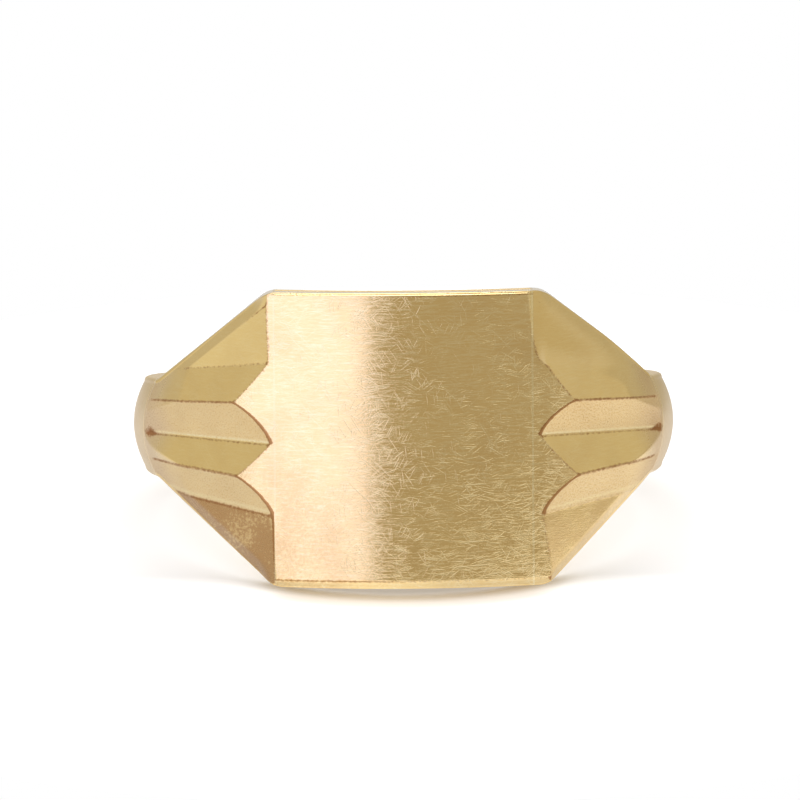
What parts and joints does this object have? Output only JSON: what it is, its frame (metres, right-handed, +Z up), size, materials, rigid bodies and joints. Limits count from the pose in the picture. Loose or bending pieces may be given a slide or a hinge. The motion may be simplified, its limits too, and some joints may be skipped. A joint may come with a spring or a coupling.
{
  "type": "signet ring",
  "caption": "Gold signet ring with a plain, slightly curved rectangular face, ribbed and fluted shoulders with toothed ends, and a domed shank.",
  "frame": {"origin": "middle of the finger hole, on its axis and halfway along it", "axes": "+Z along the finger hole's axis, -Y out through the middle of the face, +X to the right as the face is looked at with +Z up"},
  "size_m": [0.0216, 0.0222, 0.0114],
  "materials": {
    "face_gold": "polished yellow gold, finely scratched in wear",
    "fluted_gold": "satin yellow gold, polished on its raised edges, dark in its corners",
    "plain_gold": "matt yellow gold, filed",
    "shank_gold": "polished yellow gold, worn",
    "solder": "paler gold solder"
  },
  "bodies": {
    "root": {"signet_face_plate": "face_gold", "upper_head_wall": "plain_gold", "lower_head_wall": "plain_gold", "left_shoulder": "fluted_gold", "right_shoulder": "fluted_gold", "shank": "shank_gold", "left_face_solder": "solder", "right_face_solder": "solder", "upper_wall_solder": "solder", "lower_wall_solder": "solder", "left_shank_solder": "solder", "right_shank_solder": "solder"}
  },
  "joints": []
}
